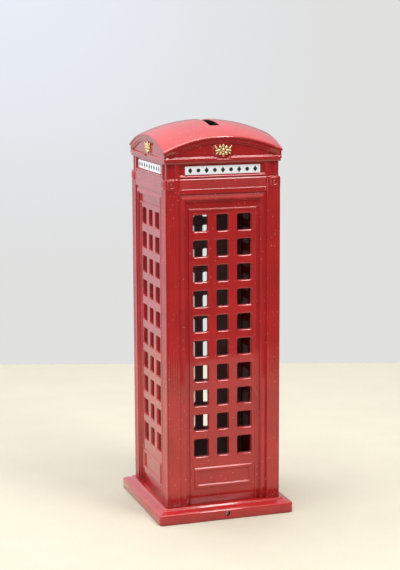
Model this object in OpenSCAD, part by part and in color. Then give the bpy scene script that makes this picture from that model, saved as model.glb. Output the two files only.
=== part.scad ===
// A die-cast coin bank in the shape of a domed telephone kiosk.
// Four pierced wall castings stand on a base casting, tabbed into it and into the roof casting,
// and four tie posts in the corners clamp the whole together.
// Coins drop through the slot in the dome and come out through a hinged door in the base,
// which a grub screw in the front edge of the base holds shut.
// The front faces -Y, and the origin is at the middle of the base's underside.

/* [Base] */
// Side of the square base
base_w = 50; // [49:0.5:54]
// Height of the base's upright edge
base_edge_h = 3.7; // [3.5:0.1:3.9]
// Height of the top of the base, where the walls stand
base_h = 5; // [4.9:0.1:5.4]

/* [Walls] */
// Side of the square that the four walls make
body_w = 42; // [41.6:0.1:42.4]
// Height at which the walls end and the roof begins
wall_top = 126.2; // [126:0.1:126.8]
// Thickness of a wall casting at its pilasters
wall_t = 2.6; // [2.4:0.1:2.8]
// How far the walls' window field lies behind the pilasters
field_d = 0.9; // [0.7:0.1:1.1]

/* [Windows] */
// Number of rows of windows
window_rows = 10; // [7:1:10]
// Distance from one row of windows to the next
row_pitch = 8.84; // [8.6:0.02:8.9]
// Height of a window
window_h = 5.8; // [5:0.1:6.2]
// Width of the windows in the middle column
middle_window_w = 4.5; // [4.4:0.1:5.2]
// Width of the windows in the two outer columns
outer_window_w = 5.4; // [5.2:0.1:5.9]
// Width of the upright bars between the windows
bar_w = 3.1; // [2.6:0.1:3.2]

/* [Roof] */
// Side of the square that the eaves make
roof_w = 43.4; // [43:0.1:44]
// Height of the top of the dome
dome_top = 140; // [139.8:0.1:140.4]
// Radius of the dome
dome_r = 52.9; // [52.5:0.1:54]
// Thickness of the dome
dome_t = 2; // [1.8:0.1:2.4]
// Length of the coin slot, which runs from front to back
slot_l = 24.4; // [23.6:0.1:26]
// Width of the coin slot
slot_w = 3.6; // [3:0.1:3.8]

/* [Coin door] */
// Width of the coin door
door_w = 26.8; // [25.8:0.1:27]
// Thickness of the coin door
door_t = 2.2; // [2:0.1:2.3]
// Diameter of the hinge pin
hinge_pin_d = 1.6; // [1.4:0.1:1.7]
// How far the coin door is shown open
door_angle = 0; // [0:1:100]

/* [Fasteners] */
// Diameter of the shanks of the screws and of the posts' studs
screw_d = 2; // [1.8:0.1:2.2]
// Diameter of the four tie posts
post_d = 3; // [2.8:0.1:3.4]
// Diameter of the grub screw that locks the coin door
lock_screw_d = 1.76; // [1.6:0.02:1.8]
// How far the grub screw is shown drawn out
lock_screw_out = 0; // [0:0.1:3]

/* [Hidden] */

$fn = 48;
eps = 0.01;
enamel = "firebrick";

// Quarter turns about the upright axis that bring the front onto each side
front_turn = 0;
right_turn = 90;
back_turn = 180;
left_turn = -90;

body_half = body_w / 2;
roof_half = roof_w / 2;
inner_half = body_half - wall_t;

// Castings meet with a fine gap, and tabs and screws have a little room
seam = 0.05;
fit = 0.05;
thread_gap = 0.03;

// The skin of the side walls that laps round the front and back walls
lip_t = 0.45;
corner_r = 0.45;

// Heights on a wall, from its foot to the roof
pilaster_top = 120.9;
band_top = 121;
band_foot = 117.4;
head_foot = 115.6;
arch_inner_z = 113.7;
step_z = 113.1;
recess_z = 110.5;
field_top = 109.95;
sill_z = [121.5, 122];
sign_z = [122.3, 125.3];
frame_z = 125.9;
window_top = 108.4;
last_row_extra = 0.7;

// Half widths on a wall
arch_outer_u = 15.9;
arch_inner_u = 14;
step_u = 13.6;
bead_u = 12.4;
field_u = 11.8;
lug_u = [17.4, 20.1];
lug_r = 0.7;
stud_r = 0.85;
stile_u = [15.7, 17.2];
reed_u = [17.25, 18.1, 18.95, 19.75];
reed_half = 0.16;
band_reed_pitch = 0.62;
band_reed_h = 0.3;

// The framed panel below the windows
panel_u = 10.7;
panel_z = [11, 18.25];
panel_inner_u = 9.6;
panel_inner_z = [12.1, 17.2];
panel_proud = 0.4;

// Depths behind the pilaster's face, which is at depth 0
band_d = 0.15;
neck_d = 0.5;
block_d = 0.75;
sign_floor_d = 0.85;
sign_t = 0.3;
lug_d = -0.3;
stud_d = -0.55;
rim_d = 0.2;
reed_d = 0.2;

// Heights and half widths of the roof
dome_z = dome_top - dome_r;
eaves_z = 129.8;
cornice_half = roof_half - 0.3;
cornice_foot_half = cornice_half - 0.25;
cornice_foot_z = wall_top + 0.9;
ledge_z = [127.5, 128.1];
ledge_half = 19.6;
ledge_break = 2.6;
roof_inner_half = 17.6;
post_boss_r = 2.4;
stud_l = 3.5;

// The pediment's arcs, each as [radius, height of its centre, depth behind the eaves]
pediment_arcs = [[47.7, dome_z, 0.45], [42.8, 90.9, 0.8], [42.1, 90.9, 1.25]];
tympanum_d = pediment_arcs[2][2];

// The oval behind an emblem, and the emblem
emblem_z = 130.5;
boss_half = [3.7, 2.7];
boss_t = 0.35;
emblem_t = 0.55;

// Tabs that hold a wall in the base and in the roof
tab_w = 6;
tab_t = 1;
tab_l = 1.3;
tab_u = 8;

// Corner posts
post_x = 16.4;
post_y = 16.2;

// The door's hinge: its axis, and the ring round the pin
hinge_y = 14.8;
hinge_z = 1.9;
ring_r = 1.4;
ring_gap = 0.2;
door_foot = 0.3;
door_front = -15.2;
pocket_front = -15.4;
pocket_back = 17.4;
knuckle_x = [4.2, 9.7];
outer_ring_x = [10, 12.4];
lock_z = 2.15;
lock_front = -24.2;
lock_tip = -15.3;

// ---- outlines -------------------------------------------------------------

// Points of a rectangle with rounded corners, between two corners
function round_rect(low, high, r, steps = 5) = [
  for (corner = [[high.x - r, high.y - r, 0], [low.x + r, high.y - r, 90],
                 [low.x + r, low.y + r, 180], [high.x - r, low.y + r, 270]])
    for (i = [0:steps])
      let (angle = corner.z + 90 * i / steps)
        [corner.x + r * cos(angle), corner.y + r * sin(angle)]
];

// Points of an ellipse
function oval(half_w, half_h, centre, steps = 40) = [
  for (i = [0:steps - 1])
    let (angle = 360 * i / steps)
      [centre.x + half_w * cos(angle), centre.y + half_h * sin(angle)]
];

module rect(x, z) {
  translate([x[0], z[0]]) square([x[1] - x[0], z[1] - z[0]]);
}

module both_sides() {
  children();
  mirror([1, 0, 0]) children();
}

// A square column with its corners rounded
module column(half, z, r) {
  translate([0, 0, z[0]]) linear_extrude(z[1] - z[0]) {
    square([2 * half, 2 * (half - r)], center = true);
    square([2 * (half - r), 2 * half], center = true);
    for (x = [-1, 1], y = [-1, 1])
      translate([x * (half - r), y * (half - r)]) circle(r);
  }
}

// A square frustum
module slope(half_low, half_high, z) {
  translate([0, 0, z[0]])
    linear_extrude(z[1] - z[0], scale = half_high / half_low)
      square(2 * half_low, center = true);
}

// ---- walls ----------------------------------------------------------------

// Extrudes an outline drawn on the front wall from the wall's back to a depth behind the pilasters
module raised(depth) {
  translate([0, -inner_half, 0]) rotate([90, 0, 0]) linear_extrude(wall_t - depth) children();
}

// Cuts an outline drawn on the front wall right through it
module pierced() {
  translate([0, -inner_half + 1, 0]) rotate([90, 0, 0]) linear_extrude(wall_t + 2) children();
}

// Cuts an outline into the front wall from in front, down to a depth
module sunk(depth) {
  translate([0, -body_half + depth, 0]) rotate([90, 0, 0]) linear_extrude(depth + 1) children();
}

// The outline of all the windows of one wall
module windows() {
  half_middle = middle_window_w / 2;
  outer_low = half_middle + bar_w;
  outer_high = outer_low + outer_window_w;
  for (row = [0:window_rows - 1]) {
    top = window_top - row * row_pitch;
    low = top - window_h - (row == window_rows - 1 ? last_row_extra : 0);
    polygon(round_rect([-half_middle, low], [half_middle, top], 0.5));
    both_sides() polygon(round_rect([outer_low, low], [outer_high, top], 0.5));
  }
}

// The section of the moulding round the recess, as [distance outwards, depth]
arch_section = [[0, 0.1], [0.45, 0], [0.8, 0], [0.8, 0.12], [1.2, 0.12], [1.9, 0.6]];
arch_w = arch_outer_u - arch_inner_u;

// The moulding that runs up both sides of the recess and across its head, mitred at the corners
module architrave() {
  outer_z = arch_inner_z + arch_w;
  both_sides() intersection() {
    translate([0, 0, base_h]) linear_extrude(outer_z - base_h)
      polygon(concat(
        [for (p = arch_section) [arch_inner_u + p[0], -body_half + p[1]]],
        [[arch_outer_u, -inner_half], [arch_inner_u, -inner_half]]));
    raised(-1) polygon([[arch_inner_u, 0], [arch_outer_u, 0],
                        [arch_outer_u, outer_z], [arch_inner_u, arch_inner_z]]);
  }
  intersection() {
    translate([-arch_outer_u, 0, 0]) rotate([90, 0, 90]) linear_extrude(2 * arch_outer_u)
      polygon(concat(
        [for (p = arch_section) [-body_half + p[1], arch_inner_z + p[0]]],
        [[-inner_half, outer_z], [-inner_half, arch_inner_z]]));
    raised(-1) polygon([[-arch_inner_u, arch_inner_z], [arch_inner_u, arch_inner_z],
                        [arch_outer_u, outer_z], [-arch_outer_u, outer_z]]);
  }
}

// The pilasters' upright reeds and the lug on each pilaster's head
module pilasters(half) {
  difference() {
    raised(0) both_sides() rect([arch_outer_u + 0.25, half], [base_h, pilaster_top]);
    for (u = reed_u)
      sunk(reed_d) both_sides()
        rect([u - reed_half, u + reed_half], [base_h - 1, band_foot - 0.1]);
  }
  raised(rim_d) both_sides() rect([arch_outer_u, arch_outer_u + 0.3], [base_h, pilaster_top]);
  raised(lug_d) both_sides()
    polygon(round_rect([lug_u[0], band_foot], [lug_u[1], pilaster_top - 0.15], lug_r));
  raised(stud_d) both_sides()
    translate([(lug_u[0] + lug_u[1]) / 2, (band_foot + pilaster_top) / 2]) circle(stud_r);
}

// The band of level reeds above the recess
module reeded_band() {
  raised(band_d) rect([-arch_outer_u, arch_outer_u], [band_foot, band_top]);
  for (z = [band_foot + 0.05:band_reed_pitch:band_top - 0.2])
    raised(band_d - reed_d) rect([-stile_u[0], stile_u[0]], [z, z + band_reed_h]);
}

// The frieze at the head of the wall: a framed, sunk panel for the sign, and a sunk block at each end
module frieze(half) {
  raised(block_d) both_sides() rect([stile_u[1], half], [pilaster_top - 0.1, wall_top]);
  raised(neck_d) both_sides() rect([half - 0.7, half], [pilaster_top - 0.1, wall_top]);
  raised(rim_d) both_sides() rect(stile_u, [band_top - 0.2, wall_top]);
  raised(sign_floor_d) rect([-stile_u[0] - eps, stile_u[0] + eps], [band_top - 0.1, wall_top]);
  raised(0.05) rect([-stile_u[0], stile_u[0]], sill_z);
  raised(0.35) rect([-stile_u[0], stile_u[0]], [band_top - 0.1, sill_z[0] + 0.1]);
  raised(rim_d) rect([-stile_u[0], stile_u[0]], [frame_z, wall_top]);
}

// The window field, with a bead round it and a framed panel below the windows
module window_field() {
  recess_d = field_d + 0.25;
  raised(recess_d) rect([-arch_outer_u - 0.3, arch_outer_u + 0.3], [base_h, head_foot]);
  raised(0.5) both_sides() rect([step_u, arch_inner_u + eps], [base_h, arch_inner_z]);
  raised(0.5) rect([-arch_inner_u - eps, arch_inner_u + eps], [step_z, arch_inner_z + eps]);
  raised(0.6) both_sides() rect([field_u, bead_u], [base_h, recess_z]);
  raised(0.6) rect([-bead_u, bead_u], [field_top, recess_z]);
  raised(field_d) rect([-field_u, field_u], [base_h, field_top]);
  difference() {
    raised(field_d - panel_proud) rect([-panel_u, panel_u], panel_z);
    sunk(field_d) rect([-panel_inner_u, panel_inner_u], panel_inner_z);
  }
}

// One wall's relief, on the front side, out to a half width below and above the pilasters' heads
module wall_relief(half, neck_half) {
  difference() {
    union() {
      window_field();
      architrave();
      raised(0.1) rect([-arch_outer_u - 0.3, arch_outer_u + 0.3], [head_foot, band_foot + 0.1]);
      reeded_band();
      pilasters(half);
      frieze(neck_half);
    }
    pierced() windows();
  }
}

// Tabs on a wall's foot and head
module tabs(grow = 0) {
  for (side = [-1, 1], z = [base_h - tab_l, wall_top])
    translate([side * tab_u - tab_w / 2 - grow, -inner_half - 1.5 - grow,
               z - (z < base_h ? grow : eps)])
      cube([tab_w + 2 * grow, tab_t + 2 * grow, tab_l + grow + eps]);
}

// Front and back walls, which sit between the side walls
module narrow_wall() {
  color(enamel) {
    wall_relief(body_half - lip_t - seam, body_half - neck_d - lip_t - seam);
    tabs();
  }
}

// Side walls, whose skin laps round to the front and the back
module wide_wall() {
  lap_half = body_half - lip_t;
  neck_half = body_half - neck_d;
  color(enamel) difference() {
    intersection() {
      wall_relief(body_half, neck_half);
      union() {
        column(body_half, [base_h, pilaster_top], corner_r);
        translate([0, -body_half - 1, 0])
          rect_block([lug_u[1] + 0.1, 2, pilaster_top]);
        column(neck_half, [pilaster_top - eps, wall_top], corner_r);
        translate([0, -body_half, 0])
          rect_block([stile_u[1], 2, wall_top]);
      }
    }
    for (end = [0, 1]) mirror([end, 0, 0]) {
      translate([inner_half - seam, -lap_half, base_h - 1])
        cube([wall_t + 1, wall_t + 1, pilaster_top - base_h + 1]);
      translate([inner_half - seam, -lap_half + neck_d, pilaster_top - eps])
        cube([wall_t + 1, wall_t + 1, wall_top - pilaster_top + 1]);
    }
  }
  color(enamel) tabs();
}

// A block centred on X, from y = 0 inwards, standing on the base's top
module rect_block(size) {
  translate([-size.x, 0, base_h]) cube([2 * size.x, size.y, size.z - base_h]);
}

module front_panel() { rotate(front_turn) narrow_wall(); }
module back_panel() { rotate(back_turn) narrow_wall(); }
module left_panel() { rotate(left_turn) wide_wall(); }
module right_panel() { rotate(right_turn) wide_wall(); }

// ---- signs and emblems ----------------------------------------------------

// A blank enamel sign in the frieze
module sign(turn) {
  color("white") rotate(turn)
    translate([0, -body_half + sign_floor_d, 0]) rotate([90, 0, 0]) linear_extrude(sign_t)
      rect([-13.65, 13.65], sign_z);
}

module front_sign() { sign(front_turn); }
module back_sign() { sign(back_turn); }
module left_sign() { sign(left_turn); }
module right_sign() { sign(right_turn); }

// The gilt rosette and its leaves, in the middle of each pediment
module rosette_outline() {
  circle(1.2);
  for (i = [0:7]) rotate(45 * i) translate([1.35, 0]) circle(0.62);
  both_sides() {
    for (leaf = [[2.1, 0.15, 0.62], [2.75, 0.3, 0.5], [3.2, 0.55, 0.34]])
      translate([leaf[0], leaf[1]]) circle(leaf[2]);
  }
}

module emblem(turn) {
  color("gold") rotate(turn)
    translate([0, -roof_half + tympanum_d - boss_t, emblem_z]) rotate([90, 0, 0]) {
      linear_extrude(emblem_t * 0.6) rosette_outline();
      linear_extrude(emblem_t) circle(0.8);
    }
}

module front_emblem() { emblem(front_turn); }
module back_emblem() { emblem(back_turn); }
module left_emblem() { emblem(left_turn); }
module right_emblem() { emblem(right_turn); }

// ---- roof -----------------------------------------------------------------

// Cuts an outline drawn on the front of the roof back from the eaves to a depth behind them
module roof_sunk(depth) {
  translate([0, -roof_half + depth, 0]) rotate([90, 0, 0]) linear_extrude(depth + 1) children();
}

// A circle segment above a level line, as on the pediment
module segment(r, centre_z, foot_z) {
  intersection() {
    translate([0, centre_z]) circle(r, $fn = 96);
    rect([-roof_half - 1, roof_half + 1], [foot_z, dome_top + 1]);
  }
}

// What is cut away to leave the pediment on the front of the roof
module pediment_cut() {
  for (arc = pediment_arcs) roof_sunk(arc[2]) segment(arc[0], arc[1], ledge_z[1]);
}

// The ledge at the pediment's foot, broken by the oval behind the emblem
module pediment_ledge() {
  difference() {
    translate([-ledge_half, -roof_half + 0.05, ledge_z[0]])
      cube([2 * ledge_half, 2, ledge_z[1] - ledge_z[0]]);
    translate([-ledge_break, -roof_half - 1, ledge_z[0] - 1])
      cube([2 * ledge_break, 1.3, 3]);
  }
  translate([0, -roof_half + tympanum_d + 1, 0]) rotate([90, 0, 0])
    linear_extrude(1 + boss_t) polygon(oval(boss_half.x, boss_half.y, [0, emblem_z]));
}

module roof() {
  color(enamel) difference() {
    union() {
      difference() {
        intersection() {
          translate([0, 0, dome_z]) sphere(dome_r, $fn = 96);
          union() {
            column(cornice_foot_half, [wall_top, cornice_foot_z + 0.1], 0.3);
            column(cornice_half, [cornice_foot_z, eaves_z + 0.1], 0.4);
            column(roof_half, [eaves_z, dome_top + 1], 0.6);
          }
        }
        for (turn = [0:90:270]) rotate(turn) pediment_cut();
        intersection() {
          translate([0, 0, dome_z]) sphere(dome_r - dome_t, $fn = 96);
          translate([-roof_inner_half, -roof_inner_half, wall_top - 1])
            cube([2 * roof_inner_half, 2 * roof_inner_half, dome_top]);
        }
      }
      for (turn = [0:90:270]) rotate(turn) pediment_ledge();
      for (x = [-1, 1], y = [-1, 1])
        translate([x * post_x, y * post_y, wall_top]) cylinder(5, r = post_boss_r);
    }
    translate([0, 0, dome_top - 8]) linear_extrude(10)
      polygon(round_rect([-slot_w / 2, -slot_l / 2], [slot_w / 2, slot_l / 2], 0.35));
    for (x = [-1, 1], y = [-1, 1])
      translate([x * post_x, y * post_y, wall_top - 1])
        cylinder(stud_l + 1.4, d = screw_d + 2 * thread_gap);
    for (turn = [0:90:270]) rotate(turn) tabs(fit);
  }
}

// ---- base -----------------------------------------------------------------

pocket_half = door_w / 2 + 0.2;
hole_half = door_w / 2 - 1.2;
pocket_z = door_foot + door_t + 0.05;
head_d = 3.8;
head_h = 1.35;

module at_posts() {
  for (x = [-1, 1], y = [-1, 1]) translate([x * post_x, y * post_y, 0]) children();
}

// A row of rings for the hinge pin, hung from the roof of the hinge groove
module base_rings() {
  for (x = [[-outer_ring_x[1], -outer_ring_x[0]], [-knuckle_x[0] + ring_gap, knuckle_x[0] - ring_gap],
            outer_ring_x])
    translate([x[0], hinge_y, hinge_z]) {
      rotate([0, 90, 0]) cylinder(x[1] - x[0], r = ring_r);
      translate([0, -ring_r, 0]) cube([x[1] - x[0], 2 * ring_r, 2.2]);
    }
}

module base_block() {
  edge_half = base_w / 2;
  column(edge_half, [0, base_edge_h - 0.35], 1);
  column(edge_half - 0.3, [0, base_edge_h], 1);
  slope(edge_half - 0.3, 22.3, [base_edge_h, base_h - 0.6]);
  column(22.1, [base_edge_h - 0.1, base_h - 0.25], 0.4);
  column(21.75, [base_edge_h - 0.1, base_h], 0.4);
}

module base() {
  color(enamel) difference() {
    union() {
      difference() {
        base_block();
        translate([-pocket_half, pocket_front, -1])
          cube([2 * pocket_half, pocket_back - pocket_front, pocket_z + 1]);
        translate([-pocket_half, hinge_y - ring_r - ring_gap, -1])
          cube([2 * pocket_half, 2 * (ring_r + ring_gap), hinge_z + ring_r + ring_gap + 1]);
        translate([-hole_half, pocket_front + 1.6, -1])
          cube([2 * hole_half, 2 * hole_half, base_h + 2]);
      }
      base_rings();
    }
    translate([-pocket_half, hinge_y, hinge_z]) rotate([0, 90, 0])
      cylinder(2 * pocket_half, d = hinge_pin_d + 2 * thread_gap);
    at_posts() {
      translate([0, 0, -1]) cylinder(base_h + 2, d = screw_d + 0.3);
      translate([0, 0, -1]) cylinder(1 + 0.15 + head_h, d = head_d + 0.4);
    }
    translate([0, -base_w / 2 - 1, lock_z]) rotate([-90, 0, 0])
      cylinder(base_w / 2 + pocket_front + 2, d = lock_screw_d + 0.14);
    for (turn = [0:90:270]) rotate(turn) tabs(fit);
  }
}

// ---- posts and screws -----------------------------------------------------

module post(x, y) {
  color("silver") translate([x * post_x, y * post_y, base_h]) difference() {
    union() {
      cylinder(wall_top - base_h, d = post_d);
      cylinder(wall_top - base_h + stud_l, d = screw_d);
    }
    translate([0, 0, -1]) cylinder(9, d = screw_d + 2 * thread_gap);
  }
}

module front_left_post() { post(-1, -1); }
module front_right_post() { post(1, -1); }
module back_left_post() { post(-1, 1); }
module back_right_post() { post(1, 1); }

// Pan-headed screws with a cross recess, driven up through the base into the posts
module base_screws() {
  head_foot = 0.15;
  color("silver") at_posts() difference() {
    union() {
      translate([0, 0, head_foot]) cylinder(head_h, d = head_d);
      cylinder(base_h + 6, d = screw_d);
    }
    translate([0, 0, -eps]) cylinder(head_foot + eps, d = head_d);
    for (turn = [0, 90]) rotate(turn) translate([-1.1, -0.2, -1]) cube([2.2, 0.4, 1.75]);
  }
}

// ---- coin door ------------------------------------------------------------

module coin_door() {
  door_half = door_w / 2;
  plate_back = hinge_y - ring_r - 0.3;
  color("silver") translate([0, hinge_y, hinge_z]) rotate([door_angle, 0, 0])
    translate([0, -hinge_y, -hinge_z]) difference() {
      union() {
        translate([-door_half, door_front, door_foot])
          cube([2 * door_half, plate_back - door_front, door_t]);
        both_sides() translate([knuckle_x[0], 0, 0]) {
          translate([0, hinge_y, hinge_z]) rotate([0, 90, 0])
            cylinder(knuckle_x[1] - knuckle_x[0], r = ring_r);
          translate([0, plate_back - eps, hinge_z - ring_r])
            cube([knuckle_x[1] - knuckle_x[0], hinge_y - plate_back, ring_r]);
        }
      }
      translate([-door_half, hinge_y, hinge_z]) rotate([0, 90, 0])
        cylinder(2 * door_half, d = hinge_pin_d + 2 * fit);
      translate([-4, door_front + 2.2, -1]) cube([8, 1.2, 1 + door_foot + 0.7]);
    }
}

module hinge_pin() {
  color("silver") translate([-outer_ring_x[1], hinge_y, hinge_z]) rotate([0, 90, 0])
    cylinder(2 * outer_ring_x[1], d = hinge_pin_d);
}

// A slotted grub screw: rings stand in for its thread
module lock_screw() {
  length = lock_tip - lock_front;
  pitch = 0.45;
  r = lock_screw_d / 2;
  turns = floor((length - 1) / pitch);
  color("gray") translate([0, lock_front - lock_screw_out, lock_z]) rotate([-90, 0, 0])
    difference() {
      rotate_extrude($fn = 32) polygon(concat(
        [[0, 0], [r - 0.15, 0]],
        [for (i = [0:turns - 1]) each [[r, 0.25 + i * pitch], [r - 0.15, 0.25 + (i + 0.5) * pitch]]],
        [[r - 0.15, length - 0.5], [r - 0.45, length], [0, length]]));
      translate([-r - 1, -0.16, -1]) cube([2 * r + 2, 0.32, 1.6]);
    }
}

base();
front_panel();
back_panel();
left_panel();
right_panel();
roof();
front_sign();
back_sign();
left_sign();
right_sign();
front_emblem();
back_emblem();
left_emblem();
right_emblem();
front_left_post();
front_right_post();
back_left_post();
back_right_post();
base_screws();
coin_door();
hinge_pin();
lock_screw();
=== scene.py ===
# %% [markdown]
# # A red telephone kiosk coin bank
#
# The real object is a small coin bank, 14 cm tall: zinc castings under a thick red stoving enamel.
# Everything that fits or moves comes from the packed CAD model, which loads as a fixed frame. This
# script adds what the frame can't hold: softened edges, enamel, gilding, printed signs and light.

# %% Load the frame
import math
from itertools import pairwise

import bmesh
import bpy
from mathutils import Matrix, Vector


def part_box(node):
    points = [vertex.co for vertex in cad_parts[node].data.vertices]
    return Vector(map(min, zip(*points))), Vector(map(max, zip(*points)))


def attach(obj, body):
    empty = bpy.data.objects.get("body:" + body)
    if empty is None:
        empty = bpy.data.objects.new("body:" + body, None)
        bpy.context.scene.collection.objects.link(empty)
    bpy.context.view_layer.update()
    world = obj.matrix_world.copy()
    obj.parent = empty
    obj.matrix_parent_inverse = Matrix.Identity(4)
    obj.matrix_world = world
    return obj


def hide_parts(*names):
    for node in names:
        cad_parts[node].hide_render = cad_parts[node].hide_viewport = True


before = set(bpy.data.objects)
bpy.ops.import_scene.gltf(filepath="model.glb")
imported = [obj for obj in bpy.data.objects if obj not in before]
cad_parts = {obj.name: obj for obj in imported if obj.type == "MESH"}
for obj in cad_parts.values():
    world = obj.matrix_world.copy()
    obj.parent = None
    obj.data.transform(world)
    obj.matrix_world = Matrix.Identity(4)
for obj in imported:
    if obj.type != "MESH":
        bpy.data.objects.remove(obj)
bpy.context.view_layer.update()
MM = 0.001

# %% [markdown]
# ## The camera
#
# The bank is seen from the left of its front and from slightly above, with a long lens, so that its
# upright edges stay almost parallel. A camera is easiest to aim from angles: a turn round the upright
# axis, a height above the horizon, and a distance. Its three axes then come from those angles.

# %% Camera
CAMERA_TURN = math.radians(-18.24)
CAMERA_RISE = math.radians(9.78)
CAMERA_ROLL = math.radians(-0.25)
CAMERA_DISTANCE = 546.8 * MM
AIM_SIDEWAYS = -0.98 * MM
AIM_HEIGHT = 80.9 * MM
LENS = 95.7
SHIFT = (-0.0035, -0.0031)


def make_camera():
    back = Vector((math.sin(CAMERA_TURN) * math.cos(CAMERA_RISE),
                   -math.cos(CAMERA_TURN) * math.cos(CAMERA_RISE),
                   math.sin(CAMERA_RISE)))
    level = Vector((math.cos(CAMERA_TURN), math.sin(CAMERA_TURN), 0))
    upright = back.cross(level)
    right = level * math.cos(CAMERA_ROLL) + upright * math.sin(CAMERA_ROLL)
    up = upright * math.cos(CAMERA_ROLL) - level * math.sin(CAMERA_ROLL)
    data = bpy.data.cameras.new("camera")
    data.lens = LENS
    data.shift_x, data.shift_y = SHIFT
    data.clip_start, data.clip_end = 0.01, 20
    camera = bpy.data.objects.new("camera", data)
    turned = Matrix((right, up, back)).transposed().to_4x4()
    aim = level * AIM_SIDEWAYS + Vector((0, 0, AIM_HEIGHT))
    camera.matrix_world = Matrix.Translation(aim + back * CAMERA_DISTANCE) @ turned
    bpy.context.scene.collection.objects.link(camera)
    bpy.context.scene.camera = camera
    return camera


camera = make_camera()
print("camera at", [round(c, 3) for c in camera.location], "m, lens", LENS, "mm")

# %% [markdown]
# ## Shader maths as plain expressions
#
# A finish is a graph of nodes, which is tedious to wire by hand. The small class below wraps one
# socket, so that `mask * 0.5 + 0.1` adds the Math nodes by itself. Every other node comes from one
# method, which takes the node's type, its settings and the values or links of its sockets.


# %% Wires
class Wire:
    """A number on its way through a shader. Arithmetic on it adds Math nodes."""

    def __init__(self, finish, socket):
        self.finish = finish
        self.socket = socket

    def math(self, operation, *terms):
        return self.finish.node("ShaderNodeMath", {"operation": operation}, dict(enumerate(terms)))

    def __add__(self, other):
        return self.math("ADD", self, other)

    def __radd__(self, other):
        return self.math("ADD", other, self)

    def __sub__(self, other):
        return self.math("SUBTRACT", self, other)

    def __rsub__(self, other):
        return self.math("SUBTRACT", other, self)

    def __mul__(self, other):
        return self.math("MULTIPLY", self, other)

    def __rmul__(self, other):
        return self.math("MULTIPLY", other, self)

    def __truediv__(self, other):
        return self.math("DIVIDE", self, other)

    def __rtruediv__(self, other):
        return self.math("DIVIDE", other, self)

    def __abs__(self):
        return self.math("ABSOLUTE", self)

    def most(self, other):
        return self.math("MAXIMUM", self, other)

    def rise(self, low, high):
        """0 below low and 1 above high, smooth between them. It falls where low is above high."""
        start, end = (1.0, 0.0) if low > high else (0.0, 1.0)
        return self.finish.node("ShaderNodeMapRange", {"interpolation_type": "SMOOTHSTEP"},
                                {"Value": self, "From Min": min(low, high),
                                 "From Max": max(low, high), "To Min": start, "To Max": end})


print("a wire takes", sum(name.startswith("__r") for name in vars(Wire)), "reflected operators")


# %% Finishes
class Finish:
    """The nodes of a material, or of the world, which are added one by one."""

    def __init__(self, owner):
        self.owner = owner
        owner.use_nodes = True
        self.tree = owner.node_tree
        self.tree.nodes.clear()

    def node(self, kind, settings=None, sockets=None, out=0):
        """Adds a node, and gives back the wire of one of its outputs."""
        made = self.tree.nodes.new(kind)
        for key, value in (settings or {}).items():
            setattr(made, key, value)
        for key, value in (sockets or {}).items():
            self.feed(made.inputs[key], value)
        return Wire(self, made.outputs[out])

    def feed(self, socket, value):
        if isinstance(value, Wire):
            self.tree.links.new(value.socket, socket)
        elif isinstance(value, tuple) and len(value) == 3 and socket.type == "RGBA":
            socket.default_value = (*value, 1)
        else:
            socket.default_value = value

    def mix(self, factor, a, b):
        """Colours a and b, mixed by factor."""
        return self.node("ShaderNodeMix", {"data_type": "RGBA"}, {0: factor, 6: a, 7: b}, out=2)

    def place(self, stretch=(1, 1, 1)):
        """The point on the bank, in millimetres, with each axis stretched."""
        where = self.node("ShaderNodeTexCoord", out="Object")
        return self.node("ShaderNodeVectorMath", {"operation": "MULTIPLY"},
                         {0: where, 1: tuple(s / MM for s in stretch)})

    def parts(self, vector):
        """The X, Y and Z of a vector."""
        split = self.node("ShaderNodeSeparateXYZ", sockets={0: vector})
        return [Wire(self, socket) for socket in split.socket.node.outputs]

    def noise(self, vector, scale, detail=2.0, roughness=0.5):
        return self.node("ShaderNodeTexNoise", sockets={
            "Vector": vector, "Scale": scale, "Detail": detail, "Roughness": roughness})

    def specks(self, vector, per_mm, radius, share):
        """Scattered round specks: how far inside one a point is, for a share of the cells."""
        distance = self.node("ShaderNodeTexVoronoi", sockets={"Vector": vector, "Scale": per_mm})
        chance = self.node("ShaderNodeSeparateColor", sockets={
            0: Wire(self, distance.socket.node.outputs["Color"])})
        size = chance.rise(1 - share, 1.0) * radius * per_mm
        return (size - distance).rise(0.0, 0.25 * radius * per_mm)

    def bump(self, height_mm):
        """A normal from a height in millimetres."""
        return self.node("ShaderNodeBump", sockets={
            "Strength": 1.0, "Distance": MM, "Height": height_mm})

    def surface(self, **sockets):
        """Ends the material with a Principled shader. Words in a name are joined by _."""
        named = {key.replace("_", " "): value for key, value in sockets.items()}
        return self.end(self.node("ShaderNodeBsdfPrincipled", sockets=named),
                        "ShaderNodeOutputMaterial")

    def end(self, shader, kind):
        """Leads a shader to an output node, and gives back what the nodes belong to."""
        output = self.tree.nodes.new(kind)
        self.tree.links.new(shader.socket, output.inputs["Surface"])
        return self.owner


def start_finish(name):
    """A material to be filled with nodes, and the wire of the place on the bank in mm."""
    finish = Finish(bpy.data.materials.new(name))
    return finish, finish.place()


print("a finish has", len([name for name in vars(Finish) if name[0] != "_"]), "methods")

# %% [markdown]
# ## Red stoving enamel
#
# The castings are sprayed with a thick, very glossy red enamel and baked. Up close it has a slight
# orange peel, dust specks caught under the gloss, and faint clouds where it lies thicker. Two layers
# make the gloss: a softer one in the colour, and a clear coat over it, as in a real enamel. The
# spray barely reaches the inside, which stays the dark brown of the primer, with hardly any gloss.
# Up under the roof the inside is painted almost black, as painted shade.

# %% Enamel and primer
BASE_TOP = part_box("front_panel")[0].z / MM
BODY_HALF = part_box("left_panel")[1].y / MM
ROOF_LOW, ROOF_HIGH = (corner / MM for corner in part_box("roof"))
DOME_RADIUS = 52.9
RED = (0.475, 0.015, 0.016)
DEEP_RED = (0.34, 0.010, 0.010)
PRIMER = (0.26, 0.16, 0.17)
DEEP_SHADE = (0.02, 0.010, 0.010)
DUST = (0.80, 0.38, 0.36)


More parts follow.
